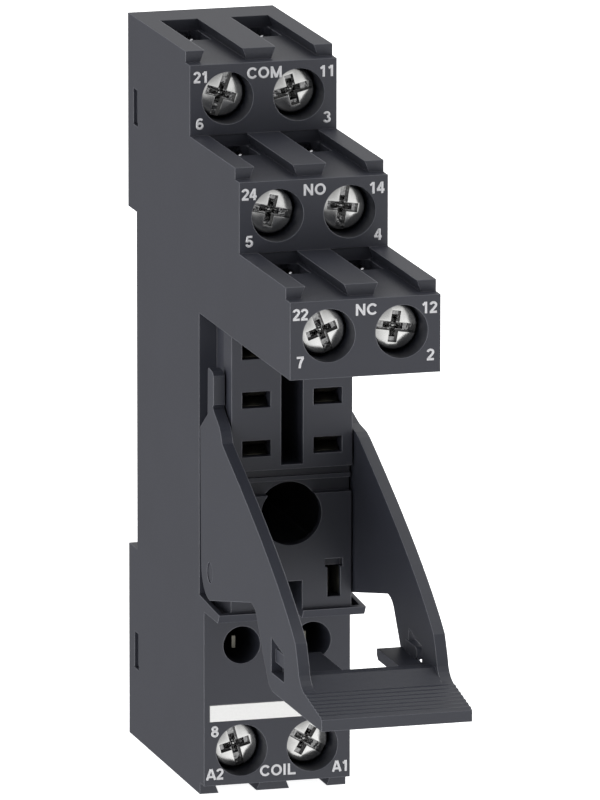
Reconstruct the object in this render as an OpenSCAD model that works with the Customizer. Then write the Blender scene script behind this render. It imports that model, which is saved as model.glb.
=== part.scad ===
// DIN-rail relay socket, 15.5 mm wide: three screw-terminal tiers, coil terminals, ejector lever.
// Build space: x from the left side, depth forward from the back plane, z up from the bottom.
// Depth runs along -Y. The finished part is moved so its origin is on the rail seat.

/* [Body] */
// Width of the socket
body_w = 15.5; // [14:0.1:18]
// Height of the socket
body_h = 76.3; // [75:0.1:80]
// Thickness of the outer walls
wall = 1.25; // [1:0.05:1.3]
// Depth of the side walls' front edge beside the relay bay
side_d = 27.35; // [26.5:0.05:27.8]

/* [Rail seat] */
// Height of the notch that takes the 35 mm rail
rail_gap = 35.7; // [35.3:0.1:36.5]
// Depth of that notch
rail_depth = 3.3; // [3:0.1:3.8]
// How far the fixed hook and the latch reach over the rail's edge
hook_reach = 1.35; // [1:0.05:1.6]
// Thickness of the hooks behind the rail
hook_t = 1.6; // [1.3:0.05:1.8]

/* [Terminal tiers] */
// Depth of the first tier's face
tier_1_face = 23.9; // [23:0.1:25]
// How much deeper each next tier's face is
tier_step_d = 18.55; // [18:0.05:19.5]
// How much lower each next tier is
tier_step_z = 8.5; // [8.2:0.1:9]
// Height of the third tier's underside
overhang_z = 50.25; // [49.8:0.05:50.4]
// Depth of the coil terminals' face
coil_face = 29.1; // [28:0.1:30]
// Drop from a tier's ribs to its face's top edge
lead_in_drop = 1.2; // [0.9:0.05:1.3]
// Setback of the ribs behind the face
rib_setback = 1.6; // [1.2:0.1:2.2]
// Width of a wire lead-in at the top, between two ribs
lead_in_w = 4; // [3.8:0.05:4.4]
// How far a lead-in's foot undercuts each rib
lead_in_undercut = 0.47; // [0.2:0.01:0.7]
// Length of a wire hole, front to back
wire_hole_l = 5.4; // [4.8:0.1:5.6]
// Width of a wire hole
wire_hole_w = 3.9; // [3.4:0.05:4]

/* [Terminal screws] */
// Distance between the two columns of terminals
column_pitch = 7.5; // [7.3:0.05:7.8]
// Distance from a tier's top to its screws' axis
axis_drop = 4.75; // [4.6:0.05:5]
// Radius of the screw pockets
pocket_r = 2.7; // [2.55:0.05:2.8]
// Radius of a screw head
head_r = 2.4; // [2.3:0.05:2.5]
// Radius of the head's flat front
head_flat_r = 2.05; // [1.9:0.05:2.2]
// Height of a screw head
head_h = 2; // [1.8:0.1:2.2]
// Depth of the head's front below the face
head_sink = 2.6; // [2.2:0.1:3]
// Radius of the screw's threaded shank
shank_r = 1.5; // [1.25:0.05:1.5]
// Width of the head's through slot and of its closed cross
driver_slot_w = 0.9; // [0.7:0.05:1.1]
// Depth of the through slot
driver_slot_h = 0.6; // [0.4:0.1:0.8]
// Tip-to-tip length of the closed cross
driver_cross_l = 3.2; // [2.8:0.1:3.5]
// Depth of the closed cross
driver_cross_h = 1.1; // [0.8:0.1:1.3]

/* [Wire clamps] */
// Outer width of a clamp
clamp_w = 5.4; // [5.2:0.05:5.45]
// Height of a clamp
clamp_h = 4.4; // [4:0.1:4.6]
// Thickness of its sides and back
clamp_t = 0.75; // [0.6:0.05:0.8]
// Thickness of its threaded front
clamp_nut_t = 1.2; // [1:0.1:1.4]
// Room for the wire when the clamp is open
clamp_open = 4; // [3.6:0.1:4.1]

/* [Contacts] */
// Thickness of the contact strips
strip_t = 0.8; // [0.6:0.05:0.9]
// Width of the strips inside the body
strip_w = 2.6; // [2.2:0.1:2.7]
// Width of a strip inside its clamp
leg_w = 3.4; // [3:0.1:3.6]
// Thickness of the two springs that grip a relay pin
spring_t = 0.35; // [0.3:0.05:0.4]
// Gap between those springs
spring_gap = 0.6; // [0.5:0.05:0.7]
// Length of those springs
spring_l = 4.6; // [4:0.1:5]

/* [Relay bay] */
// Depth of the face that the relay plugs into
bay_face = 34.6; // [34.3:0.1:35]
// Setback of the lower panel behind the face
panel_setback = 0.3; // [0.2:0.05:0.5]
// Height of the lowest row of contact slots
row_1_z = 37.45; // [37.2:0.05:37.7]
// Distance between the rows of slots
row_pitch = 5.05; // [5:0.01:5.08]
// Width of a contact slot
slot_w = 3; // [2.8:0.05:3.2]
// Height of a contact slot
slot_h = 1.7; // [1.6:0.05:1.9]
// Width of the groove between the two columns of slots
groove_w = 2.3; // [2:0.1:2.6]
// Depth of that groove
groove_depth = 8.5; // [7:0.1:9]
// Radius of the round hole in the panel, which takes the panel screw's head
panel_hole_r = 3.2; // [3:0.05:3.3]
// Radius of the panel screw's own hole in the rear cover
panel_screw_r = 1.75; // [1.6:0.05:1.9]
// Depth of the panel screw's seat
panel_seat_d = 8; // [7:0.1:10]
// Height of that hole's centre
panel_hole_z = 30.35; // [30.2:0.05:30.6]
// Height of the coil slots' centre
coil_slot_z = 23.1; // [23:0.05:23.3]
// Distance between the two coil slots
coil_slot_pitch = 9; // [8.9:0.05:9.1]
// Width of a coil slot
coil_slot_w = 1.36; // [1.3:0.02:1.5]
// Height of a coil slot
coil_slot_h = 3.1; // [2.9:0.05:3.2]

/* [Coil section] */
// Height of the ledge's underside
ledge_z = 19.5; // [19.3:0.05:19.6]
// Height of the ledge's front edge
ledge_h = 0.9; // [0.8:0.05:1]
// Depth of the ledge's front edge
ledge_d = 34.9; // [34.7:0.05:35]
// Radius of the two test holes
test_hole_r = 1.95; // [1.8:0.05:2]
// Height of the test holes' centres
test_hole_z = 15.8; // [15.5:0.1:16]
// Height of the marker strip
marker_h = 1.7; // [1.5:0.05:1.8]
// Length of the marker strip
marker_l = 14.2; // [13:0.1:14.3]
// Thickness of the marker strip
marker_t = 0.5; // [0.4:0.05:0.7]
// Height of the marker strip's lower edge
marker_z = 7.9; // [7.8:0.05:8.2]

/* [Ejector lever] */
// Thickness of the lever's arms
arm_t = 1.2; // [1.1:0.05:1.25]
// Gap between an arm and the block beside it
arm_gap = 0.2; // [0.15:0.05:0.4]
// Depth of the pivot
pivot_d = 31.35; // [31.2:0.05:31.5]
// Height of the pivot
pivot_z = 24.1; // [24:0.05:24.2]
// Radius of the pivot pins on the body
pivot_r = 1; // [0.8:0.05:1.1]
// Depth of the thumb plate's front edge
thumb_d = 72.4; // [71:0.1:73.5]
// Height of the thumb plate's underside
thumb_z = 17.25; // [17.1:0.05:17.4]
// Thickness of the thumb plate's front lip
thumb_lip = 1.25; // [1.1:0.05:1.4]
// Number of grip steps on the thumb plate
grip_steps = 7; // [4:1:9]
// Height of one grip step
grip_step_h = 0.16; // [0.1:0.01:0.2]

/* [Fits] */
// Gap between a moving piece and its guide
slide_gap = 0.15; // [0.1:0.01:0.2]
// Gap round a fixed piece that is laid in
seat_gap = 0.1; // [0.05:0.01:0.12]
// Radial gap of a shaft in its bore
run_gap = 0.06; // [0.03:0.01:0.09]

/* [Hidden] */

$fn = 48;
eps = 0.01;
// How far a cut runs past the surface it opens
over = 1;

// Levels of terminals and the two columns
com = 0;
no = 1;
nc = 2;
coil = 3;
left = -1;
right = 1;

// Colours
moulding = [0.29, 0.30, 0.32];
cover_grey = [0.25, 0.26, 0.28];
lever_grey = [0.31, 0.32, 0.34];
nickel = [0.78, 0.78, 0.76];
copper_alloy = [0.72, 0.60, 0.38];
zinc = [0.66, 0.67, 0.68];
label_white = [0.88, 0.88, 0.86];

mid_x = body_w / 2;
rail_low = (body_h - rail_gap) / 2;
rail_high = rail_low + rail_gap;

// Clearance between pieces that move and what they could meet
clear_gap = 0.3;

// Depths behind a terminal's face, from the screw pocket to the wire hole's far end
pocket_floor = head_sink + head_h + clear_gap;
cavity_start = pocket_floor + 1;
wire_hole_start = 13.3;
cavity_end = wire_hole_start + wire_hole_l;
leg_front = wire_hole_start - strip_t;
shank_end = leg_front - seat_gap;
nut_back = leg_front - clear_gap;
clamp_back = wire_hole_start + clamp_open;
// Depth from the back plane to the rooms that the rear cover closes
rear_open_d = rail_depth + wall + seat_gap;

// Strip paths
leg_top = clamp_h / 2 - 0.1;
turn_drop = clamp_h / 2 + clear_gap + strip_t / 2;
strip_back_d = [0, 16, 21];
// Depth of the receptacles' rear end, well behind the slots that lead to them
receptacle_setback = 6.6;
receptacle_d = bay_face - receptacle_setback;
coil_leaf_end = receptacle_d + spring_l;

// Driver slots are turned to a different angle on each screw, as seen in the order 21-11 to A2-A1
screw_turn = [[-161, -104], [-77, 8], [-20, -81], [-165, -121]];

function face_d(level) = level == coil ? coil_face : tier_1_face + level * tier_step_d;
function tier_top(level) = body_h - level * tier_step_z;
function axis_z(level) = level == coil ? axis_drop : tier_top(level) - axis_drop;
function column_x(side) = mid_x + side * column_pitch / 2;
function coil_slot_x(side) = mid_x + side * coil_slot_pitch / 2;
function row_z(level) = row_1_z + level * row_pitch;
function bend(a, b, c, n) =
    [for (i = [0:n]) let (t = i / n) (1 - t) * (1 - t) * a + 2 * t * (1 - t) * b + t * t * c];
function arc(x, z, r, from, to, n) =
    [for (i = [0:n]) let (a = from + (to - from) * i / n) [x + r * cos(a), z + r * sin(a)]];

// Moves the build space to the part's frame: rail seat, mid width, middle of the rail
module in_frame() translate([-mid_x, rail_depth, -body_h / 2]) children();

// A box given by its two corners in x, depth and z
module block(x, d, z)
    translate([x[0], -d[1], z[0]]) cube([x[1] - x[0], d[1] - d[0], z[1] - z[0]]);

// Extrudes a (depth, z) outline from one x to another
module across(x0, x1)
    translate([x0, 0, 0]) mirror([0, 1, 0]) rotate([90, 0, 90]) linear_extrude(x1 - x0) children();

// A cylinder along the depth, from one depth to another
module bored(x, z, r, d0, d1)
    translate([x, -d0, z]) rotate([90, 0, 0]) cylinder(r = r, h = d1 - d0);

// Repeats its children on the other side of the middle
module both_sides() {
    children();
    translate([body_w, 0, 0]) mirror([1, 0, 0]) children();
}

// Puts children at a terminal: Y runs into the body from the face, Z points to the wire's side
module at_terminal(level, side)
    translate([column_x(side), -face_d(level), axis_z(level)])
        mirror([0, 0, level == coil ? 1 : 0]) children();

// Terminals, in the coordinates of at_terminal
module slab(half_x, y, z)
    translate([-half_x, y[0], z[0]]) cube([2 * half_x, y[1] - y[0], z[1] - z[0]]);

module lead_in() {
    top = axis_drop + eps;
    foot = axis_drop - lead_in_drop;
    half_w = lead_in_w / 2;
    translate([0, cavity_end, 0]) rotate([90, 0, 0]) linear_extrude(cavity_end + over)
        polygon([[-half_w, top], [-half_w - lead_in_undercut, foot],
                 [half_w + lead_in_undercut, foot], [half_w, top]]);
}

module terminal_hollow(level) {
    rear = face_d(level) - rear_open_d + eps;
    half_h = clamp_h / 2 + slide_gap;
    translate([0, -over, 0]) rotate([-90, 0, 0]) cylinder(r = pocket_r, h = pocket_floor + over);
    rotate([-90, 0, 0]) cylinder(r = shank_r + slide_gap, h = cavity_start + over);
    slab(clamp_w / 2 + slide_gap, [cavity_start, rear], [-half_h, half_h]);
    slab(wire_hole_w / 2, [wire_hole_start, cavity_end], [0, axis_drop - lead_in_drop + eps]);
    lead_in();
}

module terminal_hollows()
    for (level = [com, no, nc, coil], side = [left, right])
        at_terminal(level, side) terminal_hollow(level);

module terminal_screw(level, side) {
    turn = screw_turn[level][side == left ? 0 : 1];
    slot_half = driver_slot_w / 2;
    cross_half = driver_cross_l / 2;
    slot_y = [head_sink - over, head_sink + driver_slot_h];
    cross_y = [head_sink - over, head_sink + driver_cross_h];
    shoulder = bend([head_flat_r, 0], [head_r, 0.1], [head_r, 0.8], 2);
    color(nickel) in_frame() at_terminal(level, side) rotate([0, turn, 0]) difference() {
        translate([0, head_sink, 0]) rotate([-90, 0, 0]) union() {
            rotate_extrude() polygon(concat([[0, 0]], shoulder, [[head_r, head_h], [0, head_h]]));
            cylinder(r = shank_r, h = shank_end - head_sink);
        }
        slab(slot_half, slot_y, [-head_r - over, head_r + over]);
        slab(slot_half, cross_y, [-cross_half, cross_half]);
        slab(cross_half, cross_y, [-slot_half, slot_half]);
    }
}

module wire_clamp(level, side) {
    half_h = clamp_h / 2;
    color(zinc) in_frame() at_terminal(level, side) difference() {
        slab(clamp_w / 2, [nut_back - clamp_nut_t, clamp_back + clamp_t], [-half_h, half_h]);
        slab(clamp_w / 2 - clamp_t, [nut_back, clamp_back], [-half_h - over, half_h + over]);
        rotate([-90, 0, 0]) cylinder(r = shank_r + run_gap, h = nut_back + over);
    }
}

// A strip folded along an axis-aligned path of (depth, z) points
module folded(path, t)
    for (i = [0:len(path) - 2]) {
        a = path[i];
        b = path[i + 1];
        translate([min(a[0], b[0]) - t / 2, min(a[1], b[1]) - t / 2])
            square([abs(a[0] - b[0]) + t, abs(a[1] - b[1]) + t]);
    }

function leg_d(level) = face_d(level) - leg_front - strip_t / 2;
function turn_z(level) = axis_z(level) - turn_drop;
function strip_path(level) =
    level == com
    ? [[leg_d(com), turn_z(com)], [leg_d(com), row_z(0)], [receptacle_d, row_z(0)]]
    : [[leg_d(level), turn_z(level)], [strip_back_d[level], turn_z(level)],
       [strip_back_d[level], row_z(level)], [receptacle_d, row_z(level)]];

// Two parallel springs that grip a relay pin, joined at their root
module pin_springs(t) {
    reach = (spring_gap + t) / 2;
    for (s = [-1, 1]) translate([receptacle_d, s * reach - t / 2]) square([spring_l, t]);
    translate([receptacle_d - t, -reach - t / 2]) square([2 * t, 2 * reach + t]);
}

module switch_contact(level, side) {
    x = column_x(side);
    color(copper_alloy) in_frame() {
        across(x - leg_w / 2, x + leg_w / 2)
            folded([[leg_d(level), axis_z(level) + leg_top - strip_t / 2],
                    [leg_d(level), turn_z(level)]], strip_t);
        across(x - strip_w / 2, x + strip_w / 2) {
            folded(strip_path(level), strip_t);
            translate([0, row_z(level)]) pin_springs(spring_t);
        }
    }
}

// The coil contacts run up from their clamps; each has upright springs and a leaf for the test hole
leaf_x = [-0.35, 0.05];
leaf_z = [test_hole_z - 0.9, test_hole_z + 0.4];
leaf_setback = 2.6;

module coil_contact(side) {
    x = column_x(side);
    sx = coil_slot_x(side);
    tip_z = coil_slot_z + coil_slot_h / 2 - clear_gap;
    foot_z = coil_slot_z - coil_slot_h / 2 + clear_gap;
    strip_d = [leg_d(coil) - strip_t / 2, leg_d(coil) + strip_t / 2];
    inner = spring_gap / 2;
    outer = inner + spring_t;
    color(copper_alloy) in_frame() {
        block([x - leg_w / 2, x + leg_w / 2], strip_d,
            [axis_z(coil) - leg_top, axis_z(coil) + turn_drop]);
        block([x - strip_w / 2, x + strip_w / 2], strip_d, [axis_z(coil), tip_z]);
        block([sx - outer, sx + outer], strip_d, [foot_z, tip_z]);
        block([sx - outer, sx - inner], [strip_d[0], coil_leaf_end], [foot_z, tip_z]);
        block([sx + inner, sx + outer], [strip_d[0], coil_leaf_end], [foot_z, tip_z]);
        block([x + leaf_x[0], x + leaf_x[1]], [strip_d[0], coil_face - leaf_setback], leaf_z);
    }
}

// Ways for the strips, all open to the rear so that each strip can be laid in from there
module strip_way(level) {
    back_d = level == com ? leg_d(com) : strip_back_d[level];
    spring_room = spring_gap / 2 + spring_t + seat_gap;
    side_room = strip_t / 2 + seat_gap;
    low = row_z(level) - spring_room;
    translate([rear_open_d - eps, low])
        square([back_d + side_room - rear_open_d, turn_z(level) + side_room - low]);
    translate([rear_open_d - eps, low])
        square([receptacle_d + spring_l + seat_gap - rear_open_d, 2 * spring_room]);
}

module strip_ways()
    both_sides() {
        x = column_x(left);
        strip_half = strip_w / 2 + seat_gap;
        leg_half = leg_w / 2 + seat_gap;
        room = strip_t / 2 + seat_gap;
        across(x - strip_half, x + strip_half) for (level = [com, no, nc]) strip_way(level);
        for (level = [com, no, nc])
            block([x - leg_half, x + leg_half], [rear_open_d - eps, leg_d(level) + room],
                [turn_z(level) - room, axis_z(level)]);
        block([x - leg_half, x + leg_half], [rear_open_d - eps, leg_d(coil) + room],
            [axis_z(coil), axis_z(coil) + turn_drop + seat_gap]);
        block([x - strip_half, x + strip_half], [rear_open_d - eps, leg_d(coil) + room],
            [axis_z(coil), coil_slot_z + coil_slot_h / 2]);
    }

// Side outline of the body with its three tiers, the ledge and the rail notch
ledge_nose = 0.6;
ledge_rise = 0.5;

module body_outline() {
    face = [for (level = [com, no, nc]) face_d(level)];
    top = [for (level = [com, no, nc]) tier_top(level)];
    coil_rib = coil_face - rib_setback;
    polygon([
        [0, 0], [coil_rib, 0], [coil_rib, lead_in_drop], [coil_face, lead_in_drop],
        [coil_face, ledge_z], [ledge_d - ledge_nose, ledge_z], [ledge_d, ledge_z + ledge_h],
        [side_d, ledge_z + ledge_h + ledge_rise], [side_d, overhang_z], [face[nc], overhang_z],
        [face[nc], top[nc] - lead_in_drop], [face[nc] - rib_setback, top[nc] - lead_in_drop],
        [face[nc] - rib_setback, top[nc]], [face[no], top[nc]],
        [face[no], top[no] - lead_in_drop], [face[no] - rib_setback, top[no] - lead_in_drop],
        [face[no] - rib_setback, top[no]], [face[com], top[no]],
        [face[com], top[com] - lead_in_drop], [face[com] - rib_setback, top[com] - lead_in_drop],
        [face[com] - rib_setback, top[com]], [0, top[com]],
        [0, rail_high], [rail_depth, rail_high], [rail_depth, rail_low], [0, rail_low]
    ]);
}

// The block that the relay plugs into, with a lipped bar and a panel set back below its face
bay_block_w = body_w - 2 * (arm_t + arm_gap);
bay_left = mid_x - bay_block_w / 2;
bay_right = mid_x + bay_block_w / 2;
bay_root_d = side_d - 1;
flange_t = 2.85;
flange_step = 0.5;
block_low = row_1_z - 2.3;
bar_low = block_low - 1.35;
bar_face = bay_face - 1;
bar_lip_h = 0.45;
bar_lip_face = bay_face - 0.65;
band_face = bay_face - 1.3;
panel_top = block_low - 2.75;
panel_t = 0.95;

module bay_block() {
    block([bay_left + flange_step, bay_right - flange_step],
        [bay_root_d, bay_face - flange_t], [block_low, overhang_z + eps]);
    block([bay_left, bay_right], [bay_face - flange_t, bay_face], [block_low, overhang_z + eps]);
    block([bay_left, bay_right], [bay_root_d, bar_face], [bar_low, block_low + eps]);
    block([bay_left, bay_right], [bay_root_d, bar_lip_face], [bar_low, bar_low + bar_lip_h]);
    block([bay_left, bay_right], [bay_root_d, band_face], [panel_top - eps, bar_low + eps]);
    block([bay_left, bay_right], [bay_root_d, bay_face - panel_setback],
        [ledge_z + eps, panel_top]);
}

groove_low = row_1_z - 1.85;
groove_high = overhang_z - 0.6;
slot_root_d = receptacle_d + 0.6;
key_w = 0.25;
key_h = 0.85;
key_d = 1.2;

module bay_openings() {
    groove_d = [bay_face - groove_depth, bay_face + over];
    groove_x = [mid_x - groove_w / 2, mid_x + groove_w / 2];
    for (side = [left, right], level = [0:2])
        block([column_x(side) - slot_w / 2, column_x(side) + slot_w / 2],
            [slot_root_d, bay_face + over],
            [row_z(level) - slot_h / 2, row_z(level) + slot_h / 2]);
    for (side = [left, right]) {
        x = coil_slot_x(side);
        half = coil_slot_w / 2;
        low = coil_slot_z - coil_slot_h / 2;
        block([x - half, x + half], [leg_d(coil), bay_face + over], [low, low + coil_slot_h]);
        block([x - half - key_w, x + half + key_w], [bay_face - key_d, bay_face + over],
            [low + coil_slot_h - eps, low + coil_slot_h + key_h]);
    }
    block(groove_x, groove_d, [groove_low, groove_high]);
    block(groove_x, groove_d, [ledge_z - eps, coil_slot_z + 0.3]);
}

// The room behind the panel, cored out from the rear, and the round hole that leads to it
room_half = panel_hole_r + 0.7;

module panel_room() {
    room_x = [mid_x - room_half, mid_x + room_half];
    front = bay_face - panel_setback - panel_t;
    block(room_x, [rear_open_d - eps, front], [panel_hole_z - room_half, panel_top - 0.2]);
    block(room_x, [rear_open_d - eps, front - panel_t],
        [panel_hole_z - room_half, panel_hole_z + room_half]);
    bored(mid_x, panel_hole_z, panel_hole_r, front - panel_t - over, bay_face + over);
}

module pivot_pins()
    both_sides() translate([0.1, -pivot_d, pivot_z]) rotate([0, 90, 0])
        cylinder(r = pivot_r, h = bay_left);

// Windows in the side walls where the rear cover's hooks snap in
snap_d = [2.1, 3.85];
snap_low = [7.45, 11.35];
snap_high = [65, 68.8];
// Notch for a screwdriver's tip below the latch
tool_notch_w = 3.2;
tool_notch_d = 1.8;
// Room for the lever's heels in the ledge
heel_room_x = [0.5, bay_left];
heel_room_d = [side_d + 0.7, ledge_d - 0.7];
heel_room_h = 2.6;
heel_room_z = [ledge_z + 0.4, ledge_z + 0.4 + heel_room_h];

module housing()
    color(moulding) in_frame() {
        difference() {
            union() {
                across(0, body_w) body_outline();
                bay_block();
            }
            terminal_hollows();
            strip_ways();
            bay_openings();
            panel_room();
            block([wall, body_w - wall], [-over, rear_open_d], [wall, body_h - wall]);
            both_sides() {
                for (z = [snap_low, snap_high]) block([-over, wall + over], snap_d, z);
                block(heel_room_x, heel_room_d, heel_room_z);
                bored(column_x(left), test_hole_z, test_hole_r, leg_d(coil), coil_face + over);
            }
            block([mid_x - tool_notch_w / 2, mid_x + tool_notch_w / 2], [-over, tool_notch_d],
                [-over, wall + eps]);
            block([mid_x - marker_l / 2 - seat_gap / 2, mid_x + marker_l / 2 + seat_gap / 2],
                [coil_face - marker_t, coil_face + over],
                [marker_z - seat_gap / 2, marker_z + marker_h + seat_gap / 2]);
        }
        pivot_pins();
    }

// Rear cover: a stepped plate between the side walls, with the fixed rail hook and latch guide
cover_x = [wall + seat_gap, body_w - wall - seat_gap];
cover_z = [wall + seat_gap, body_h - wall - seat_gap];
cover_t = wall;
// The pad that rests on the rail ends short of what the hook and the latch reach over
pad_inset = 2.6;
pad_rise = 0.3;
hook_front = hook_t + 0.5;
hook_back = 0.3;
hook_nose = 0.9;
hook_w = 8.6;
guide_w = 9.2;
latch_w = 5.7;
latch_flange = 0.6;
latch_low = wall + 1.85;
guide_floor = hook_front + slide_gap;
lip_t = 1.2;
lip_end = rail_low - 3.3;
boss_r = panel_screw_r + 1.6;

module rear_cover() {
    plate_d = rail_depth + cover_t;
    step_d = rail_depth + pad_rise;
    color(cover_grey) in_frame() difference() {
        union() {
            across(cover_x[0], cover_x[1]) polygon([
                [0, cover_z[1]], [0, rail_high], [step_d, rail_high],
                [step_d, rail_high - pad_inset], [rail_depth, rail_high - pad_inset],
                [rail_depth, rail_low + pad_inset], [step_d, rail_low + pad_inset],
                [step_d, rail_low], [0, rail_low], [0, cover_z[0]],
                [cover_t, cover_z[0]], [cover_t, rail_low - cover_t],
                [plate_d, rail_low - cover_t], [plate_d, rail_high + cover_t],
                [cover_t, rail_high + cover_t], [cover_t, cover_z[1]]
            ]);
            across(mid_x - hook_w / 2, mid_x + hook_w / 2) polygon([
                [hook_back, rail_high + eps], [hook_back, rail_high - 0.5],
                [hook_nose, rail_high - hook_reach], [hook_front, rail_high - hook_reach],
                [hook_front, rail_high + eps]
            ]);
            block([mid_x - guide_w / 2, mid_x + guide_w / 2], [0, guide_floor + cover_t],
                [cover_z[0], rail_low - eps]);
            bored(mid_x, panel_hole_z, boss_r, rail_depth + eps, panel_seat_d);
            both_sides() for (z = [snap_low, snap_high]) snap_hook(z);
        }
        latch_way();
        bored(mid_x, panel_hole_z, panel_screw_r, rail_depth - over, panel_seat_d + over);
    }
}

// A hook on a short leg at the plate's edge, seen from above
hook_tip_x = [0.35, 0.8];
hook_leg_t = 0.9;

module snap_hook(z)
    translate([0, 0, z[0] + seat_gap]) linear_extrude(z[1] - z[0] - 2 * seat_gap)
        polygon([
            [cover_x[0], -snap_d[0] - seat_gap], [hook_tip_x[0], -snap_d[0] - seat_gap],
            [hook_tip_x[1], -snap_d[1] + seat_gap],
            [cover_x[0] + hook_leg_t, -snap_d[1] + seat_gap],
            [cover_x[0] + hook_leg_t, -0.1], [cover_x[0], -0.1]
        ]);

// The latch slides in a groove with lips over its flanges
module latch_way() {
    half = latch_w / 2 + slide_gap;
    block([mid_x - half, mid_x + half], [-over, guide_floor], [-over, rail_low + over]);
    block([mid_x - half - latch_flange, mid_x + half + latch_flange], [lip_t, guide_floor],
        [-over, lip_end]);
}

// The latch: a nose over the rail, flanges under the lips, a tool slot and a spring tongue
spring_slit = 0.5;
spring_x = 1.6;
spring_low = latch_low + 4.5;
tool_slot_x = 1.3;
tool_slot_z = [latch_low + 1.2, latch_low + 3];

module rail_latch() {
    half = latch_w / 2;
    front = hook_front;
    slit_d = [0, front + over];
    color(lever_grey) in_frame() difference() {
        union() {
            across(mid_x - half, mid_x + half) polygon([
                [hook_back, latch_low], [front, latch_low], [front, rail_low + hook_reach],
                [hook_nose, rail_low + hook_reach], [hook_back, rail_low + 0.5]
            ]);
            block([mid_x - half - latch_flange, mid_x + half + latch_flange],
                [lip_t + slide_gap, front], [latch_low + 0.6, lip_end - slide_gap]);
        }
        block([mid_x - tool_slot_x, mid_x + tool_slot_x], slit_d, tool_slot_z);
        for (s = [-1, 1])
            block([mid_x + s * spring_x - spring_slit / 2, mid_x + s * spring_x + spring_slit / 2],
                slit_d, [spring_low, rail_low - 5]);
        block([mid_x - spring_x - spring_slit / 2, mid_x + spring_x + spring_slit / 2], slit_d,
            [spring_low, spring_low + spring_slit]);
    }
}

// Ejector lever: two arms, a stepped thumb plate and two shelves behind it, one moulding
thumb_top_z = thumb_z + 3.55;
grip_start = [thumb_d - 6.3, thumb_z + thumb_lip + grip_steps * grip_step_h];
grip_pitch = (thumb_d - 0.25 - grip_start[0]) / grip_steps;
grip_ramp = 0.7;
plate_back = thumb_d - 10.3;
plate_front = thumb_d - 8.8;
crease = [thumb_d - 9.5, thumb_top_z + 3.2];
shoulder = [pivot_d + 4.85, pivot_z + 14.2];
arm_belly = [(shoulder[0] + 3 * crease[0]) / 4 - 0.4, (shoulder[1] + crease[1]) / 2 - 1.25];
arm_back_d = side_d + 0.45;
heel_r = 3.3;
heel = [pivot_d + 0.05, pivot_z + 0.4];
finger_d = [pivot_d - 0.65, pivot_d + 1.4];
finger_z = [pivot_z + 17.7, pivot_z + 20.8];

// The grip steps and the lip, from the arms' foot to the plate's underside
function grip() = concat(
    [for (i = [0:grip_steps - 1], k = [0, 1])
        [grip_start[0] + (i + (k == 0 ? grip_ramp : 1)) * grip_pitch,
         grip_start[1] - (i + k) * grip_step_h]],
    [[thumb_d, thumb_z + thumb_lip - 0.1], [thumb_d, thumb_z]]);

// The arm's front edge from its shoulder over the crease to the lip
function arm_front() = concat(
    bend(shoulder, arm_belly, crease, 12),
    [crease + [1, -2.1]],
    bend(crease + [1.3, -3], [grip_start[0] - 1.3, grip_start[1] + 0.3], grip_start, 4),
    grip());

// The arm's lower edge from the plate's rear to the heel round the pivot
function arm_foot() = concat(
    [[thumb_d - 17.8, thumb_z - 0.1], [thumb_d - 19.1, thumb_z + 0.4],
     [thumb_d - 21.1, thumb_z + 2.85]],
    bend([pivot_d + 17.85, pivot_z - 1], [pivot_d + 17.15, pivot_z + 0.3],
        [pivot_d + 15.45, pivot_z + 0.4], 4),
    arc(heel[0], heel[1], heel_r, 270, 180, 8),
    [[arm_back_d, pivot_z + 14.4]]);

// The left arm ends in a finger that holds the relay, the right arm is rounded off below it
function finger() = concat(
    [[finger_d[0] - 0.1, pivot_z + 16.3], [finger_d[0], finger_z[1] + 0.2],
     [finger_d[0] + 0.3, finger_z[1] + 0.4], [finger_d[1] - 0.5, finger_z[1] + 0.25],
     [finger_d[1], finger_z[1] - 0.1], [finger_d[1], finger_z[0]],
     [finger_d[1] - 0.35, finger_z[0] - 0.3], [finger_d[1] + 0.35, finger_z[0] - 0.8]],
    bend(shoulder + [-1.8, 2], shoulder + [-0.8, 1.5], shoulder + [-0.3, 0.2], 4));
function rounded_top() = [
    [arm_back_d + 0.6, pivot_z + 15.2], [arm_back_d + 2.2, pivot_z + 15.5],
    [shoulder[0] - 3.9, shoulder[1] + 0.65], [shoulder[0] - 1.2, shoulder[1] + 0.35]];

window_d = [thumb_d - 18.2, thumb_d - 13.5];
window_z = [thumb_z + 1.8, thumb_z + 4.6, thumb_z + 5.4];
tongue_x = [0.5, arm_t + 0.15];
tongue_end = window_d[0] + 3.4;
tongue_z = [thumb_z + 2.8, thumb_z + 4.15];

module arm(top) {
    tongue_r = (tongue_z[1] - tongue_z[0]) / 2;
    across(0, arm_t) difference() {
        polygon(concat(top, arm_front(), arm_foot()));
        translate([pivot_d, pivot_z]) circle(r = pivot_r + run_gap);
        polygon([[window_d[0], window_z[0]], [window_d[1], window_z[0]],
                 [window_d[1], window_z[1]], [window_d[0], window_z[2]]]);
    }
    across(tongue_x[0], tongue_x[1]) union() {
        translate([window_d[0] - 0.5, tongue_z[0]])
            square([tongue_end - tongue_r - window_d[0] + 0.5, 2 * tongue_r]);
        translate([tongue_end - tongue_r, tongue_z[0] + tongue_r]) circle(r = tongue_r, $fn = 24);
    }
}

shelf_back = plate_back - 10.2;
shelf_top = thumb_z + 2.95;
shelf_t = 1.1;
shelf_chamfer = 0.45;
left_shelf_end = 5.8;
right_shelf_start = 11.65;

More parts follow.
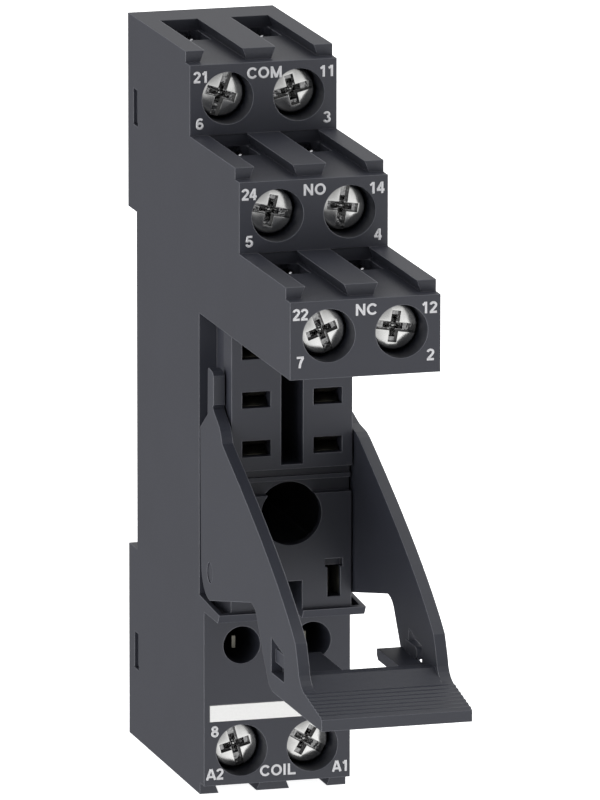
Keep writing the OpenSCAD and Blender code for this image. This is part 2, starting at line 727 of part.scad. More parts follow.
module ejector_lever()
    color(lever_grey) in_frame() {
        arm(finger());
        translate([body_w, 0, 0]) mirror([1, 0, 0]) arm(rounded_top());
        across(arm_t - eps, body_w - arm_t + eps)
            polygon(concat([[plate_back, thumb_z], [plate_back, thumb_top_z]],
                bend([plate_front, thumb_top_z], [plate_front + 0.9, thumb_top_z - 0.6],
                    grip_start, 5),
                grip()));
        for (x = [[arm_t - eps, left_shelf_end], [right_shelf_start, body_w - arm_t + eps]])
            across(x[0], x[1]) polygon([
                [plate_back + eps, shelf_top], [shelf_back, shelf_top],
                [shelf_back, shelf_top - shelf_t + shelf_chamfer],
                [shelf_back + shelf_chamfer, shelf_top - shelf_t],
                [plate_back + eps, shelf_top - shelf_t]
            ]);
    }

module marker_strip()
    color(label_white) in_frame()
        block([mid_x - marker_l / 2, mid_x + marker_l / 2], [coil_face - marker_t, coil_face],
            [marker_z, marker_z + marker_h]);

housing();
rear_cover();
rail_latch();
ejector_lever();
marker_strip();
terminal_screw(com, left);  // screw_21
terminal_screw(com, right);  // screw_11
terminal_screw(no, left);  // screw_24
terminal_screw(no, right);  // screw_14
terminal_screw(nc, left);  // screw_22
terminal_screw(nc, right);  // screw_12
terminal_screw(coil, left);  // screw_a2
terminal_screw(coil, right);  // screw_a1
wire_clamp(com, left);  // clamp_21
wire_clamp(com, right);  // clamp_11
wire_clamp(no, left);  // clamp_24
wire_clamp(no, right);  // clamp_14
wire_clamp(nc, left);  // clamp_22
wire_clamp(nc, right);  // clamp_12
wire_clamp(coil, left);  // clamp_a2
wire_clamp(coil, right);  // clamp_a1
switch_contact(com, left);  // contact_21
switch_contact(com, right);  // contact_11
switch_contact(no, left);  // contact_24
switch_contact(no, right);  // contact_14
switch_contact(nc, left);  // contact_22
switch_contact(nc, right);  // contact_12
coil_contact(left);  // contact_a2
coil_contact(right);  // contact_a1
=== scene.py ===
import math

import bmesh
import bpy
from mathutils import Matrix, Vector


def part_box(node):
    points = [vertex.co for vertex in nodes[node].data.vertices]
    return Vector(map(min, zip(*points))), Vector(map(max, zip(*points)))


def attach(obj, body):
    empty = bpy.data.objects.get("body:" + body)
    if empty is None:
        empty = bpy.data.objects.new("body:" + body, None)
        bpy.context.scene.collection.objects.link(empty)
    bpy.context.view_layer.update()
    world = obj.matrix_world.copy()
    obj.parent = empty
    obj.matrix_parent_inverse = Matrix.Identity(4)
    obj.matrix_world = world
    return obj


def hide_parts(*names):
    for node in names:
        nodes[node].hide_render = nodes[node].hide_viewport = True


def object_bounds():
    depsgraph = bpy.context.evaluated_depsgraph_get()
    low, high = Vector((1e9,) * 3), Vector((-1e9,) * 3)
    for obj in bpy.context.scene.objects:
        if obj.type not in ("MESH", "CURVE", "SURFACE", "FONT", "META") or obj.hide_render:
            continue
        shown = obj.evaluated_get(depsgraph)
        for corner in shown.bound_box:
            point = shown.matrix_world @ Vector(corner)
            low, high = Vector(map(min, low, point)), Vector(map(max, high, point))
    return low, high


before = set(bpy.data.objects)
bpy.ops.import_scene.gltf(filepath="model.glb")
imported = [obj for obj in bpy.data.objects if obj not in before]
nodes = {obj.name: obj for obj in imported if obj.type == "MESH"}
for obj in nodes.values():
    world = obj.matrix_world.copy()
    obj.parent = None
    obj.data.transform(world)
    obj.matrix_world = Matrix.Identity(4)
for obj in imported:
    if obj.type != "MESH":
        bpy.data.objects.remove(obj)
cad_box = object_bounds()

# Camera. A long lens about 1.25 m away, a little to the left of the front and above it,
# so that the left side, the fronts and the tops of the tiers all show.
view_azimuth = math.radians(-15.96)
view_elevation = math.radians(12.34)
view_roll = math.radians(0.05)
view_distance = 1.24698
aim = Vector((0.0, -0.0217, -0.00015))
aim_shift = Vector((0.00344, 0.0022))
back = Vector((
    math.sin(view_azimuth) * math.cos(view_elevation),
    -math.cos(view_azimuth) * math.cos(view_elevation),
    math.sin(view_elevation),
))
level_right = Vector((math.cos(view_azimuth), math.sin(view_azimuth), 0.0))
level_up = back.cross(level_right)
right = level_right * math.cos(view_roll) + level_up * math.sin(view_roll)
up = level_up * math.cos(view_roll) - level_right * math.sin(view_roll)
camera_data = bpy.data.cameras.new("camera")
camera_data.lens = 550.7
camera_data.sensor_width = 36.0
camera = bpy.data.objects.new("camera", camera_data)
camera.matrix_world = Matrix.Translation(
    aim + back * view_distance + right * aim_shift.x + up * aim_shift.y
) @ Matrix((right, up, back)).transposed().to_4x4()
bpy.context.scene.collection.objects.link(camera)
bpy.context.scene.camera = camera

# Floor. A white table of opal glass lit from below, so it throws no tint on the socket
# and takes only the faintest shadow under its foot.
floor_reach = 6.0
floor_z = cad_box[0][2]
floor_mesh = bpy.data.meshes.new("floor")
floor_mesh.from_pydata(
    [(x * floor_reach, y * floor_reach, floor_z) for x, y in ((-1, -1), (1, -1), (1, 1), (-1, 1))],
    [], [(0, 1, 2, 3)],
)
floor = bpy.data.objects.new("floor", floor_mesh)
bpy.context.scene.collection.objects.link(floor)
opal = bpy.data.materials.new("opal table")
opal.use_nodes = True
opal_shader = opal.node_tree.nodes["Principled BSDF"]
opal_shader.inputs["Base Color"].default_value = (0.9, 0.9, 0.9, 1)
opal_shader.inputs["Roughness"].default_value = 0.9
opal_shader.inputs["Specular IOR Level"].default_value = 0.0
opal_shader.inputs["Emission Color"].default_value = (1, 1, 1, 1)
opal_shader.inputs["Emission Strength"].default_value = 0.95
floor_mesh.materials.append(opal)
floor.visible_diffuse = False
floor.visible_glossy = False
floor.visible_transmission = False
floor.visible_shadow = False


# Housing. One moulding of dark glass-filled nylon with three terminal tiers and the relay
# bay. Its steel tool is finely spark-eroded and leaves every edge very slightly rounded.
def fed(tree, kind, inputs=(), **settings):
    node = tree.nodes.new(kind)
    for name, value in settings.items():
        setattr(node, name, value)
    for name, value in inputs.items() if isinstance(inputs, dict) else enumerate(inputs):
        if isinstance(value, bpy.types.NodeSocket):
            tree.links.new(value, node.inputs[name])
        else:
            node.inputs[name].default_value = value
    return node


def worked(tree, operation, *values):
    return fed(tree, "ShaderNodeMath", values, operation=operation).outputs["Value"]


def empty_group(name, kind, takes, gives):
    group = bpy.data.node_groups.new(name, kind)
    for way, sockets in (("INPUT", takes), ("OUTPUT", gives)):
        for label, content in sockets.items():
            sort = {float: "Float", int: "Int"}.get(type(content), content)
            socket = group.interface.new_socket(
                label, in_out=way, socket_type="NodeSocket" + sort)
            if sort != content:
                socket.default_value = content
    given = group.nodes.new("NodeGroupInput").outputs
    out = group.nodes.new("NodeGroupOutput").inputs
    return group, given, out


finish_outputs = {"Colour": "Color", "Roughness": "Float", "Normal": "Vector"}


def grain_and_edge_highlight_group():
    group, given, out = empty_group("moulded grain and painted edge highlight", "ShaderNodeTree", {
        "Colour": "Color", "Roughness": "Float", "Edge light": "Float", "Grain": "Float",
        "Edge radius": "Float", "Edge room": "Float",
    }, finish_outputs)
    link = group.links.new
    place = fed(group, "ShaderNodeTexCoord").outputs["Object"]
    spark = fed(group, "ShaderNodeTexNoise",
                {"Vector": place, "Scale": 7000, "Detail": 3}).outputs["Fac"]
    flow = fed(group, "ShaderNodeTexNoise",
               {"Vector": place, "Scale": 160, "Detail": 4}).outputs["Fac"]

    rounded = fed(group, "ShaderNodeBevel",
                  {"Radius": given["Edge radius"]}, samples=8).outputs["Normal"]
    flat = fed(group, "ShaderNodeNewGeometry").outputs["Normal"]
    bent = fed(group, "ShaderNodeVectorMath", (rounded, flat),
               operation="DOT_PRODUCT").outputs["Value"]
    edge = fed(group, "ShaderNodeMapRange",
               {"Value": bent, "From Min": 0.995, "From Max": 0.8}).outputs["Result"]
    room = fed(group, "ShaderNodeAmbientOcclusion",
               {"Distance": given["Edge room"]}, samples=6).outputs["AO"]
    outer = fed(group, "ShaderNodeMapRange",
                {"Value": room, "From Min": 0.6, "From Max": 0.95}).outputs["Result"]
    # Painted highlight: convex edges, where the bevelled normal bends away from the flat one and
    # the occlusion finds open room, get a light grey added to the colour, scaled by Edge light.
    painted_edge_highlight = worked(group, "MULTIPLY", worked(group, "MULTIPLY", edge, outer), given["Edge light"])
    mottle = fed(group, "ShaderNodeMapRange",
                 {"Value": flow, "To Min": 0.9, "To Max": 1.1}).outputs["Result"]
    shade = fed(group, "ShaderNodeVectorMath", {0: given["Colour"], "Scale": mottle},
                operation="SCALE").outputs["Vector"]
    # The painted edge highlight is a neutral grey, so it does not take on the nylon's blue.
    edge_highlight_tone = (0.026, 0.0265, 0.029)
    colour_with_edge_highlight = fed(group, "ShaderNodeVectorMath", (painted_edge_highlight, edge_highlight_tone, shade),
                 operation="MULTIPLY_ADD").outputs["Vector"]
    link(colour_with_edge_highlight, out["Colour"])

    spark_dulling = 0.1
    link(worked(group, "MULTIPLY_ADD", spark, spark_dulling, given["Roughness"]), out["Roughness"])
    pits = fed(group, "ShaderNodeBump", {
        "Height": spark, "Strength": given["Grain"], "Distance": 0.00001, "Normal": rounded})
    link(pits.outputs["Normal"], out["Normal"])
    return group


grain_and_edge_highlight = grain_and_edge_highlight_group()


def finished(name, group, values, **plain):
    material = bpy.data.materials.new(name)
    material.use_nodes = True
    tree = material.node_tree
    shader = tree.nodes["Principled BSDF"]
    surface = fed(tree, "ShaderNodeGroup", values, node_tree=group).outputs
    tree.links.new(surface["Colour"], shader.inputs["Base Color"])
    tree.links.new(surface["Roughness"], shader.inputs["Roughness"])
    tree.links.new(surface["Normal"], shader.inputs["Normal"])
    for socket, value in plain.items():
        shader.inputs[socket].default_value = value
    return material


def moulded_nylon(name, colour, roughness, edge_light, grain, edge_room=0.0004):
    return finished(name, grain_and_edge_highlight, {
        "Colour": (*colour, 1), "Roughness": roughness, "Edge light": edge_light,
        "Grain": grain, "Edge radius": 0.00014, "Edge room": edge_room,
    }, IOR=1.5)


def dress(node, material):
    slots = nodes[node].data.materials
    slots.clear()
    slots.append(material)


housing_nylon = moulded_nylon("anthracite nylon", (0.0245, 0.0263, 0.0362),
                              roughness=0.4, edge_light=5.0, grain=0.3)
dress("housing", housing_nylon)

# Rear cover. A second moulding of the same nylon, from a plainer tool, that clips into the
# housing's back with four hooks.
cover_nylon = moulded_nylon("cover nylon", (0.0225, 0.0243, 0.0335),
                            roughness=0.46, edge_light=4.0, grain=0.4)
dress("rear_cover", cover_nylon)

# Ejector lever and rail latch. Springy mouldings in a slightly smoother, unfilled grade. The
# lever snaps over two pins of the housing, and the latch slides in the rear cover.
lever_nylon = moulded_nylon("lever nylon", (0.0268, 0.029, 0.0395),
                            roughness=0.37, edge_light=6.0, grain=0.25, edge_room=0.00015)
dress("ejector_lever", lever_nylon)
dress("rail_latch", lever_nylon)


# Marker strip. A white card with a fine tooth for the pen, laid into its recess above the
# coil screws.
def speckled(name, dark, light, roughness, scale, detail, tooth=0.0):
    material = bpy.data.materials.new(name)
    material.use_nodes = True
    tree = material.node_tree
    shader = tree.nodes["Principled BSDF"]
    place = fed(tree, "ShaderNodeTexCoord").outputs["Object"]
    specks = fed(tree, "ShaderNodeTexNoise",
                 {"Vector": place, "Scale": scale, "Detail": detail}).outputs["Fac"]
    tone = fed(tree, "ShaderNodeValToRGB", (specks,))
    tone.color_ramp.elements[0].color = (*dark, 1)
    tone.color_ramp.elements[1].color = (*light, 1)
    tree.links.new(tone.outputs["Color"], shader.inputs["Base Color"])
    shader.inputs["Roughness"].default_value = roughness
    if tooth:
        raised = fed(tree, "ShaderNodeBump",
                     {"Height": specks, "Distance": 0.000006, "Strength": tooth})
        tree.links.new(raised.outputs["Normal"], shader.inputs["Normal"])
    return material


strip_card = speckled("marker card", (0.78, 0.78, 0.77), (0.86, 0.86, 0.85),
                      roughness=0.6, scale=4500, detail=4, tooth=0.4)
dress("marker_strip", strip_card)


# Terminal screws. Turned steel with a slot across the whole head and a pressed cross with
# a pointed middle, nickel plated. Each stands at its own angle, as the assembler left it.
def plated_group():
    group, given, out = empty_group("plated metal", "ShaderNodeTree", {
        "Colour": "Color", "Roughness": "Float", "Scratches": "Float", "Ripples": "Float",
        "Edge radius": "Float",
    }, finish_outputs)
    link = group.links.new
    place = fed(group, "ShaderNodeTexCoord").outputs["Object"]
    cloud = fed(group, "ShaderNodeTexNoise",
                {"Vector": place, "Scale": 1400, "Detail": 4}).outputs["Fac"]
    fine = fed(group, "ShaderNodeTexNoise",
               {"Vector": place, "Scale": 12000, "Detail": 2}).outputs["Fac"]
    pressed = fed(group, "ShaderNodeTexNoise",
                  {"Vector": place, "Scale": 2600, "Detail": 1}).outputs["Fac"]
    tarnish = fed(group, "ShaderNodeMapRange",
                  {"Value": cloud, "To Min": 0.88, "To Max": 1.08}).outputs["Result"]
    shade = fed(group, "ShaderNodeVectorMath", {0: given["Colour"], "Scale": tarnish},
                operation="SCALE").outputs["Vector"]
    link(shade, out["Colour"])
    cloud_dulling = 0.14
    link(worked(group, "MULTIPLY_ADD", cloud, cloud_dulling, given["Roughness"]), out["Roughness"])
    rounded = fed(group, "ShaderNodeBevel",
                  {"Radius": given["Edge radius"]}, samples=8).outputs["Normal"]
    waves = fed(group, "ShaderNodeBump", {
        "Height": pressed, "Strength": given["Ripples"], "Distance": 0.00015,
        "Normal": rounded}).outputs["Normal"]
    scratches = fed(group, "ShaderNodeBump", {
        "Height": fine, "Strength": given["Scratches"], "Distance": 0.000002,
        "Normal": waves}).outputs["Normal"]
    link(scratches, out["Normal"])
    return group


plated_metal = plated_group()


def plated(name, grey, roughness, scratches, edge_radius, ripples=0.0):
    return finished(name, plated_metal, {
        "Colour": (*grey, 1), "Roughness": roughness, "Scratches": scratches,
        "Ripples": ripples, "Edge radius": edge_radius,
    }, Metallic=1.0)


nickel = plated("nickel plate", (0.64, 0.64, 0.63),
                roughness=0.1, scratches=0.3, edge_radius=0.00004)
# Painted shade: the cross wings take a slightly darker copy of the head's nickel, and the slot and
# cross arms a much darker one, so the recess floors read dark.
shaded_recess_nickel = plated("nickel in the recess", (0.55, 0.55, 0.55),
                       roughness=0.02, scratches=0.3, edge_radius=0.00002, ripples=0.5)
shaded_slot_nickel = plated("nickel in the slot", (0.25, 0.25, 0.25),
                     roughness=0.06, scratches=0.4, edge_radius=0.00003, ripples=0.25)

head_r = 0.0024
flat_r = 0.00212
head_h = 0.002
core_r = 0.00123
shank_l = 0.0078
# Radius and height of each ring of the turned blank, from the middle of the head's top.
blank_profile = [
    (0, 0), (flat_r, 0), (0.00222, -0.00003), (0.00231, -0.00009), (0.00237, -0.0002),
    (head_r, -0.00038), (head_r, -0.00182), (0.00224, -head_h), (0.00148, -head_h),
    (core_r, -head_h - 0.00025), (core_r, -head_h - shank_l + 0.0003),
    (0.00095, -head_h - shank_l), (0, -head_h - shank_l),
]


def turned(name, profile, around):
    shape = bmesh.new()
    rings = []
    for radius, height in profile:
        if radius == 0:
            rings.append([shape.verts.new((0, 0, height))])
            continue
        rings.append([
            shape.verts.new((radius * math.cos(a), radius * math.sin(a), height))
            for a in (2 * math.pi * i / around for i in range(around))
        ])
    for upper, lower in zip(rings, rings[1:]):
        for i in range(around):
            j = (i + 1) % around
            corners = [upper[i % len(upper)], lower[i % len(lower)],
                       lower[j % len(lower)], upper[j % len(upper)]]
            shape.faces.new(list(dict.fromkeys(corners)))
    bmesh.ops.recalc_face_normals(shape, faces=shape.faces)
    mesh = bpy.data.meshes.new(name)
    shape.to_mesh(mesh)
    shape.free()
    return mesh


def at(tree, x, y, z):
    return fed(tree, "ShaderNodeCombineXYZ", (x, y, z)).outputs["Vector"]


def moved(tree, shape, move=(0, 0, 0), turn=(0, 0, 0), scale=(1, 1, 1)):
    return fed(tree, "GeometryNodeTransform", {
        "Geometry": shape, "Translation": move, "Rotation": turn, "Scale": scale,
    }).outputs["Geometry"]


def coated(tree, shape, material):
    return fed(tree, "GeometryNodeSetMaterial",
               {"Geometry": shape, "Material": material}).outputs["Geometry"]


def joined(tree, *shapes):
    whole = tree.nodes.new("GeometryNodeJoinGeometry")
    for shape in shapes:
        tree.links.new(shape, whole.inputs["Geometry"])
    return whole.outputs["Geometry"]


def screw_tree():
    tree, given, out = empty_group("slotted cross screw", "GeometryNodeTree", {
        "Geometry": "Geometry", "Slot width": 0.0009, "Slot depth": 0.0006,
        "Cross length": 0.0032, "Arm depth": 0.0005, "Cross depth": 0.0013, "Taper": 0.25,
        "Bead radius": 0.00032, "Bead sink": 0.65, "Thread pitch": 0.0005,
        "Thread height": 0.0003, "Turn": 0.0, "Place": "Vector",
    }, {"Geometry": "Geometry"})
    link = tree.links.new

    slot_l = 3 * head_r
    slot = fed(tree, "GeometryNodeMeshCube", {"Size": at(
        tree, slot_l, given["Slot width"], worked(tree, "MULTIPLY", given["Slot depth"], 2))})
    arm = fed(tree, "GeometryNodeMeshCube", {"Size": at(
        tree, given["Slot width"], given["Cross length"],
        worked(tree, "MULTIPLY", given["Arm depth"], 2))})
    corner_r = math.sqrt(0.5)
    unit_wedge = fed(tree, "GeometryNodeMeshCone", {
        "Vertices": 4, "Radius Top": corner_r,
        "Radius Bottom": worked(tree, "MULTIPLY", given["Taper"], corner_r), "Depth": 1.0,
    }, fill_type="NGON").outputs["Mesh"]
    hanging_wedge = moved(tree, unit_wedge, move=(0, 0, -1), turn=(0, 0, math.pi / 4))
    cut_over = 0.00001
    wing = moved(tree, hanging_wedge, move=(0, 0, cut_over), scale=at(
        tree, given["Cross length"], given["Slot width"], given["Cross depth"]))
    other_wing = moved(tree, wing, turn=(0, 0, math.pi / 2))
    cut = fed(tree, "GeometryNodeMeshBoolean", {
        "Mesh 1": coated(tree, given["Geometry"], nickel),
    }, operation="DIFFERENCE", solver="EXACT")
    # The slot and the arms are coated with the darkest nickel copy and the wings with the slightly
    # darker one, as painted shade in the recess.
    for cutter, finish in ((slot.outputs["Mesh"], shaded_slot_nickel), (arm.outputs["Mesh"], shaded_slot_nickel),
                           (wing, shaded_recess_nickel), (other_wing, shaded_recess_nickel)):
        link(coated(tree, cutter, finish), cut.inputs["Mesh 2"])
    ball = fed(tree, "GeometryNodeMeshUVSphere",
               {"Segments": 16, "Rings": 10, "Radius": given["Bead radius"]}).outputs["Mesh"]
    bead_z = worked(tree, "MULTIPLY",
                    worked(tree, "MULTIPLY", given["Cross depth"], given["Bead sink"]), -1)
    bead = moved(tree, ball, move=at(tree, 0, 0, bead_z))

    thread_end = 0.0004
    thread_l = shank_l - 0.0009
    ridge_share = 0.88
    helix = fed(tree, "GeometryNodeCurveSpiral", {
        "Resolution": 20, "Start Radius": core_r, "End Radius": core_r, "Height": thread_l,
        "Rotations": worked(tree, "DIVIDE", thread_l, given["Thread pitch"]),
    }).outputs["Curve"]
    ridge = fed(tree, "GeometryNodeCurvePrimitiveCircle", {
        "Resolution": 4, "Radius": worked(tree, "MULTIPLY", given["Thread height"], ridge_share),
    }).outputs["Curve"]
    upright = fed(tree, "GeometryNodeSetCurveNormal", {"Curve": helix}, mode="Z_UP")
    thread = fed(tree, "GeometryNodeCurveToMesh", {
        "Curve": upright.outputs["Curve"], "Profile Curve": ridge, "Fill Caps": True,
    }).outputs["Mesh"]
    placed_thread = moved(tree, thread, move=(0, 0, -head_h - shank_l + thread_end))

    whole = joined(tree, coated(tree, placed_thread, nickel), coated(tree, bead, nickel),
                   cut.outputs["Mesh"])
    turned_screw = moved(tree, whole, turn=at(tree, 0, 0, given["Turn"]))
    standing = moved(tree, turned_screw, move=given["Place"], turn=(math.pi / 2, 0, 0))
    sharp_angle = math.radians(32)
    fold = fed(tree, "GeometryNodeInputMeshEdgeAngle").outputs["Unsigned Angle"]
    soft = fed(tree, "FunctionNodeCompare", {"A": fold, "B": sharp_angle},
               data_type="FLOAT", operation="LESS_THAN").outputs["Result"]
    smooth_faces = fed(tree, "GeometryNodeSetShadeSmooth", {"Geometry": standing}, domain="FACE")
    smooth_edges = fed(tree, "GeometryNodeSetShadeSmooth", {
        "Geometry": smooth_faces.outputs["Geometry"], "Shade Smooth": soft}, domain="EDGE")
    real = fed(tree, "GeometryNodeRealizeInstances", (smooth_edges.outputs["Geometry"],))
    link(real.outputs["Geometry"], out["Geometry"])
    return tree


def grown(name, source, tree, values):
    maker = bpy.data.objects.new(name + "_maker", source)
    bpy.context.scene.collection.objects.link(maker)
    modifier = maker.modifiers.new("grow", "NODES")
    modifier.node_group = tree
    for item in tree.interface.items_tree:
        if item.in_out == "INPUT" and item.name in values:
            modifier[item.identifier] = values[item.name]
    bpy.context.view_layer.update()
    evaluated = maker.evaluated_get(bpy.context.evaluated_depsgraph_get())
    mesh = bpy.data.meshes.new_from_object(evaluated)
    mesh.name = name
    maker.modifiers.clear()
    bpy.data.objects.remove(maker)
    piece = bpy.data.objects.new(name, mesh)
    bpy.context.scene.collection.objects.link(piece)
    return piece


screw_blank = turned("screw blank", blank_profile, around=64)
screw_maker = screw_tree()
slot_angles = {"21": 71, "11": 14, "24": -13, "14": -98, "22": -70, "12": -9,
               "a2": -75, "a1": -31}
for terminal, angle in slot_angles.items():
    low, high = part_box("screw_" + terminal)
    screw = grown("terminal_screw_" + terminal, screw_blank, screw_maker, {
        "Turn": math.radians(angle),
        "Place": ((low[0] + high[0]) / 2, low[1], (low[2] + high[2]) / 2),
    })
    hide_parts("screw_" + terminal)
    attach(screw, "turning_screw_" + terminal)

# Wire clamps. Cages folded from steel strip and zinc plated, one climbing on each screw. The
# back of each has three pressed ridges that bite the wire, and a bright tongue with a round
# dimple that keeps the wire from slipping past.
zinc = plated("zinc plate", (0.5, 0.51, 0.53),
              roughness=0.24, scratches=0.6, edge_radius=0.00008)
bright_zinc = plated("bright zinc plate", (0.7, 0.7, 0.72),
                     roughness=0.05, scratches=0.2, edge_radius=0.0)


def clamp_trim_tree():
    tree, given, out = empty_group("clamp ridges and tongue", "GeometryNodeTree", {
        "Geometry": "Geometry", "Plate thickness": 0.00075, "Ridges": 3,
        "Ridge radius": 0.00014, "Ridge length": 0.0034, "Ridge pitch": 0.0007,
        "Tongue width": 0.0037, "Tongue thickness": 0.0002, "Tongue start": 0.002,
        "Tongue rise": 0.00178, "Dimple radius": 0.00026, "Dimple offset": 0.001,
        "Dimple height": 0.00268, "Up": 1.0, "Place": "Vector",
    }, {"Geometry": "Geometry"})
    front = worked(tree, "MULTIPLY", given["Plate thickness"], -1)

    rod = fed(tree, "GeometryNodeMeshCylinder", {
        "Vertices": 12, "Radius": given["Ridge radius"], "Depth": given["Ridge length"],
    }).outputs["Mesh"]
    lowest = worked(tree, "MULTIPLY", given["Ridge pitch"], -1)
    row = fed(tree, "GeometryNodeMeshLine", {
        "Count": given["Ridges"], "Start Location": at(tree, 0, front, lowest),
        "Offset": at(tree, 0, 0, given["Ridge pitch"]),
    }, mode="OFFSET").outputs["Mesh"]
    ridges = fed(tree, "GeometryNodeInstanceOnPoints", {
        "Points": row, "Instance": moved(tree, rod, turn=(0, math.pi / 2, 0)),
    }).outputs["Instances"]

    plate = fed(tree, "GeometryNodeMeshCube", {"Size": at(
        tree, given["Tongue width"], given["Tongue thickness"], given["Tongue rise"])})
    tongue_y = worked(tree, "MULTIPLY_ADD", given["Tongue thickness"], 0.5, front)
    tongue_mid = worked(tree, "MULTIPLY_ADD", given["Tongue rise"], 0.5, given["Tongue start"])
    tongue = moved(tree, plate.outputs["Mesh"], move=at(
        tree, 0, tongue_y, worked(tree, "MULTIPLY", tongue_mid, given["Up"])))
    ball = fed(tree, "GeometryNodeMeshUVSphere", {
        "Segments": 16, "Rings": 8, "Radius": given["Dimple radius"]}).outputs["Mesh"]
    dimple = moved(tree, ball, move=at(
        tree, given["Dimple offset"], front,
        worked(tree, "MULTIPLY", given["Dimple height"], given["Up"])))

    whole = joined(tree, coated(tree, ridges, zinc),
                   coated(tree, joined(tree, tongue, dimple), bright_zinc))
    real = fed(tree, "GeometryNodeRealizeInstances", (moved(tree, whole, move=given["Place"]),))
    tree.links.new(real.outputs["Geometry"], out["Geometry"])
    return tree


clamp_trim = clamp_trim_tree()
for terminal in slot_angles:
    dress("clamp_" + terminal, zinc)
    low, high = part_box("clamp_" + terminal)
    trim = grown("clamp_trim_" + terminal, bpy.data.meshes.new("clamp trim"), clamp_trim, {
        "Up": -1.0 if terminal.startswith("a") else 1.0,
        "Place": ((low[0] + high[0]) / 2, high[1], (low[2] + high[2]) / 2),
    })
    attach(trim, "lifting_clamp_" + terminal)

# Contacts. Stamped bronze strip that has browned in the air. The springs behind each slot
# are pinched together and then flare out to the slot's edges to lead the relay's pin in.
bronze = plated("browned bronze", (0.16, 0.155, 0.13),
                roughness=0.34, scratches=0.6, edge_radius=0.00006)
for node in nodes:
    if node.startswith("contact_"):
        dress(node, bronze)


def strip_tree(name, material):
    tree, given, out = empty_group(name, "GeometryNodeTree", {
        "Geometry": "Geometry", "Thickness": "Float", "Height": "Float",
    }, {"Geometry": "Geometry"})
    flat = fed(tree, "GeometryNodeSetCurveNormal", {"Curve": given["Geometry"]}, mode="Z_UP")
    section = fed(tree, "GeometryNodeCurvePrimitiveQuadrilateral",
                  {"Width": given["Thickness"], "Height": given["Height"]})
    strip = fed(tree, "GeometryNodeCurveToMesh", {
        "Curve": flat.outputs["Curve"], "Profile Curve": section.outputs["Curve"],
        "Fill Caps": True,
    })
    real = fed(tree, "GeometryNodeRealizeInstances", (strip.outputs["Mesh"],))
    tree.links.new(coated(tree, real.outputs["Geometry"], material), out["Geometry"])
    return tree


def stroke(curve, points, closed=False):
    line = curve.splines.new("POLY")
    line.points.add(len(points) - 1)
    line.use_cyclic_u = closed
    for point, place in zip(line.points, points):
        point.co = (*place, 1)


spring_t = 0.00012
spring_end_y = -0.0293
pinch_y = -0.0297
mouth_y = -0.0305
spring_reach = 0.00055
pinch_half = 0.00014
mouth_half = 0.00078
relay_pins = [(z, x) for x in (-0.00375, 0.00375) for z in (-0.0007, 0.00435, 0.0094)]
coil_pins = [(x, -0.01505) for x in (-0.0045, 0.0045)]
mouth_strip = strip_tree("spring mouths", bronze)
for name, pins, width, turn in (
    ("receptacle_mouths", relay_pins, 0.0026, Matrix.Rotation(-math.pi / 2, 4, "Y")),
    ("coil_receptacle_mouths", coil_pins, 0.0028, Matrix()),
):
    springs = bpy.data.curves.new(name, "CURVE")
    springs.dimensions = "3D"
    for across, level in pins:
        for side in (-1, 1):
            stroke(springs, [(across + side * half, y, level) for half, y in (
                (spring_reach, spring_end_y), (pinch_half, pinch_y), (mouth_half, mouth_y))])
    mouths = grown(name, springs, mouth_strip, {"Thickness": spring_t, "Height": width})
    mouths.data.transform(turn)
    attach(mouths, "socket")


# Markings. Terminal numbers and names, pad-printed on the faces in thick light grey ink
# with a pen that is the same width all over.
def bow(x, y, rx, ry, start, end):
    steps = max(4, round(abs(end - start) / 15))
    return [(x + rx * math.cos(a), y + ry * math.sin(a))
            for a in (math.radians(start + (end - start) * i / steps) for i in range(steps + 1))]


# Each letter's width and its pen strokes, in heights of a capital.
letters = {
    "1": (0.777, [[(0.47, 0), (0.47, 1)],
                  [(0.16, 0.735), (0.28, 0.79), (0.38, 0.88), (0.43, 0.96)]]),
    "2": (0.777, [bow(0.385, 0.70, 0.255, 0.21, 172, -30)
                  + [(0.45, 0.42), (0.25, 0.22), (0.13, 0.09)],
                  [(0.05, 0.09), (0.71, 0.09)]]),
    "3": (0.777, [bow(0.37, 0.735, 0.225, 0.175, 165, -85),
                  bow(0.37, 0.30, 0.26, 0.21, 85, -168)]),
    "4": (0.777, [[(0.49, 0.95), (0.09, 0.31)], [(0.02, 0.29), (0.74, 0.29)],
                  [(0.525, 0), (0.525, 1)]]),
    "5": (0.777, [[(0.17, 0.91), (0.67, 0.91)], [(0.215, 0.93), (0.145, 0.46)],
                  bow(0.365, 0.335, 0.265, 0.245, 143, -165)]),
    "6": (0.777, [bow(0.395, 0.32, 0.255, 0.23, 0, 360), bow(0.43, 0.53, 0.29, 0.38, 48, 205)]),
    "7": (0.777, [[(0.05, 0.905), (0.70, 0.905)],
                  [(0.64, 0.87), (0.47, 0.62), (0.36, 0.33), (0.315, 0)]]),
    "8": (0.777, [bow(0.39, 0.74, 0.215, 0.17, 0, 360), bow(0.39, 0.30, 0.26, 0.21, 0, 360)]),
    "A": (1.008, [[(0.1, 0), (0.465, 0.98)], [(0.91, 0), (0.545, 0.98)],
                  [(0.24, 0.29), (0.77, 0.29)]]),
    "C": (1.0, [bow(0.53, 0.5, 0.385, 0.41, 36, 324)]),
    "I": (0.388, [[(0.195, 0), (0.195, 1)]]),
    "L": (0.853, [[(0.2, 0), (0.2, 1)], [(0.2, 0.09), (0.81, 0.09)]]),
    "M": (1.16, [[(0.19, 0), (0.19, 1)], [(0.97, 0), (0.97, 1)],
                 [(0.21, 0.93), (0.58, 0.03)], [(0.95, 0.93), (0.58, 0.03)]]),
    "N": (1.008, [[(0.19, 0), (0.19, 1)], [(0.815, 0), (0.815, 1)], [(0.2, 0.93), (0.805, 0.07)]]),
    "O": (1.087, [bow(0.545, 0.5, 0.39, 0.41, 0, 360)]),
}
cap = 0.00117
pen = 0.00024
ink_height = 0.00003
layer_step = 0.000004
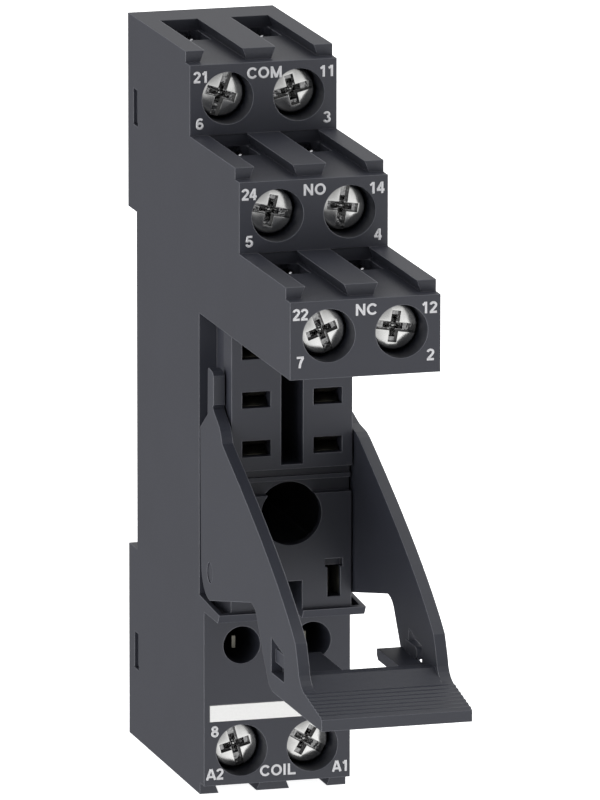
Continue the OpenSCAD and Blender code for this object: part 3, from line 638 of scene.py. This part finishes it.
ink = speckled("pad printing ink", (0.52, 0.52, 0.54), (0.66, 0.66, 0.68),
               roughness=0.45, scale=6000, detail=3)

tier_face_y = {"com": -0.0206, "no": -0.03915, "nc": -0.0577, "coil": -0.0258}
tier_top_z = {"com": 0.03815, "no": 0.02965, "nc": 0.02115}
tier_texts = {"com": ("21", "COM", "11", "6", "3"), "no": ("24", "NO", "14", "5", "4"),
              "nc": ("22", "NC", "12", "7", "2")}
# Place across, drop below the tier's top edge, and how far the letters are spread.
tier_spots = ((-0.0067, 0.00246, 0.9), (0.0001, 0.0023, 1), (0.00662, 0.00246, 0.94),
              (-0.0067, 0.00727, 0.94), (0.0067, 0.00724, 0.94))
coil_texts = (("8", -0.0066, 0.00688, 0.94), ("A2", -0.00658, 0.00241, 0.9),
              ("COIL", 0.00013, 0.00244, 1), ("A1", 0.00662, 0.00241, 0.84))
foot_z = -0.03815
marks = [(text, x, tier_top_z[tier] - drop, spread, tier)
         for tier, texts in tier_texts.items()
         for text, (x, drop, spread) in zip(texts, tier_spots)]
marks += [(text, x, foot_z + height, spread, "coil") for text, x, height, spread in coil_texts]

strokes = bpy.data.curves.new("marking strokes", "CURVE")
strokes.dimensions = "3D"
for text, x, z, spread, tier in marks:
    pen_x = 0.0
    lines = []
    for letter in text:
        advance, paths = letters[letter]
        lines += [[(pen_x + px, py) for px, py in path] for path in paths]
        pen_x += advance
    left_end = min(px for path in lines for px, py in path)
    right_end = max(px for path in lines for px, py in path)
    middle = (left_end + right_end) / 2
    for layer, path in enumerate(lines):
        closed = math.dist(path[0], path[-1]) < 1e-6
        level = -tier_face_y[tier] + ink_height / 2 + layer * layer_step
        stroke(strokes, [(x + (px - middle) * cap * spread, z + (py - 0.5) * cap, level)
                         for px, py in (path[:-1] if closed else path)], closed)
markings = grown("markings", strokes, strip_tree("printing pen", ink),
                 {"Thickness": pen, "Height": ink_height})
markings.data.transform(Matrix.Rotation(math.pi / 2, 4, "X"))
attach(markings, "socket")

# Light. A studio tent, lit through its left and right walls and its roof, with two small
# soft boxes in front and the dark opening for the lens between them.
# Each lit wall's direction, strength and sharpness.
tent_lobes = (
    ((-1, 0, 0), 2.25, 6), ((1, 0, 0), 2.9, 6), ((0, 0, 1), 0.75, 6), ((-1, -1, -1), 0.85, 6),
    ((1, 1, 1), 0.47, 6), ((1, 1, -1), 0.17, 6), ((1, -2, -1), 1.5, 30),
    ((-0.68, -0.7, -0.21), 8.0, 300),
)
world = bpy.data.worlds.new("studio tent")
world.use_nodes = True
tent = world.node_tree
sky = tent.nodes["Background"]
direction = fed(tent, "ShaderNodeTexCoord").outputs["Generated"]
total = 0.0
for axis, strength, sharpness in tent_lobes:
    facing = fed(tent, "ShaderNodeVectorMath", (direction, Vector(axis).normalized()),
                 operation="DOT_PRODUCT").outputs["Value"]
    lobe = worked(tent, "POWER", worked(tent, "MULTIPLY_ADD", facing, 0.5, 0.5), sharpness)
    total = worked(tent, "MULTIPLY_ADD", lobe, strength, total)
seen = fed(tent, "ShaderNodeLightPath").outputs["Is Camera Ray"]
backdrop = fed(tent, "ShaderNodeMix", {"Factor": seen, "A": total, "B": 1.0}, data_type="FLOAT")
tent.links.new(backdrop.outputs["Result"], sky.inputs["Strength"])
sky.inputs["Color"].default_value = (1, 1, 1, 1)
bpy.context.scene.world = world
bpy.context.scene.view_settings.view_transform = "Standard"
